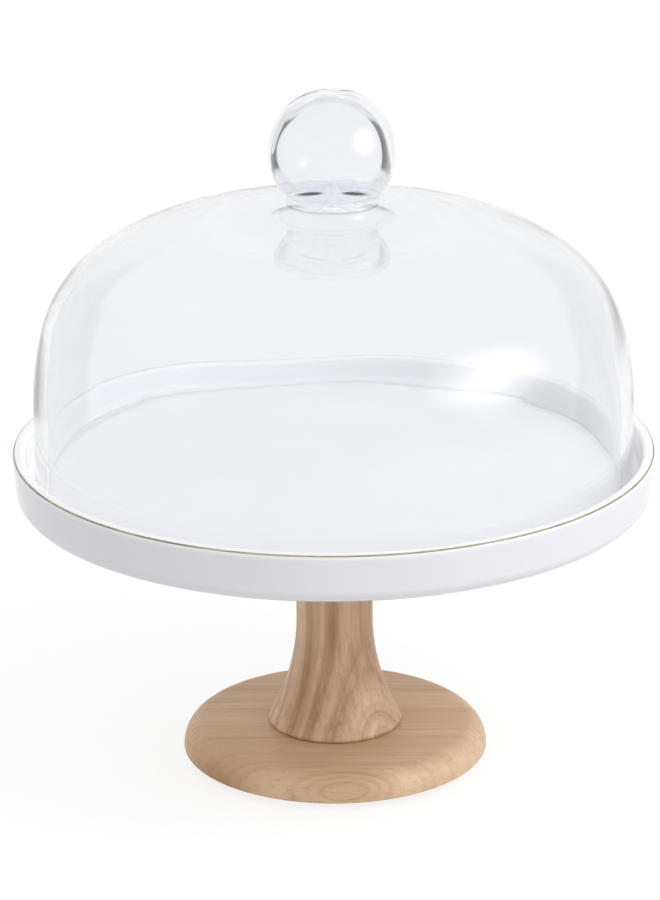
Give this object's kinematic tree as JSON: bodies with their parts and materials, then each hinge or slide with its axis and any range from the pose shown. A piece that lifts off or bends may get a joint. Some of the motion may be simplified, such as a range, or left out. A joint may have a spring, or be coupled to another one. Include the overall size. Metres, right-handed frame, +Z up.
{
  "type": "cheese dome",
  "caption": "Clear glass bell with a ball knob that lifts off a rimmed ceramic plate on a turned wooden pedestal, to cover and serve cheese or cake.",
  "frame": {"origin": "centre of the surface that the object stands on, under the pedestal's pads", "axes": "+Z up along the turning axis of the foot, stem, plate, bell and knob"},
  "size_m": [0.26, 0.26, 0.2821],
  "materials": {
    "clear_glass": "polished clear blown glass",
    "white_glaze": "glossy white glaze",
    "gilt": "thin fired gilt line, satin",
    "light_hardwood": "light open-pored hardwood, satin oil",
    "silicone": "translucent white silicone",
    "insert_brass": "machined",
    "zinc_steel": "zinc plated",
    "pad_rubber": "matt soft rubber"
  },
  "bodies": {
    "stand": {"ceramic_plate": "white_glaze", "gilt_rim_line": "gilt", "silicone_bond": "silicone", "mounting_disc": "light_hardwood", "disc_insert": "insert_brass", "hanger_bolt": "zinc_steel", "stem": "light_hardwood", "stem_insert": "insert_brass", "foot_disc": "light_hardwood", "foot_washer": "zinc_steel", "foot_bolt": "zinc_steel", "foot_pads": "pad_rubber"},
    "dome": {"glass_dome": "clear_glass", "ball_knob": "clear_glass"}
  },
  "joints": [
    {"name": "dome_lift", "type": "slide", "parent": "stand", "child": "dome", "axis": [0, 0, 1], "range_m": [0, 0.2]}
  ]
}
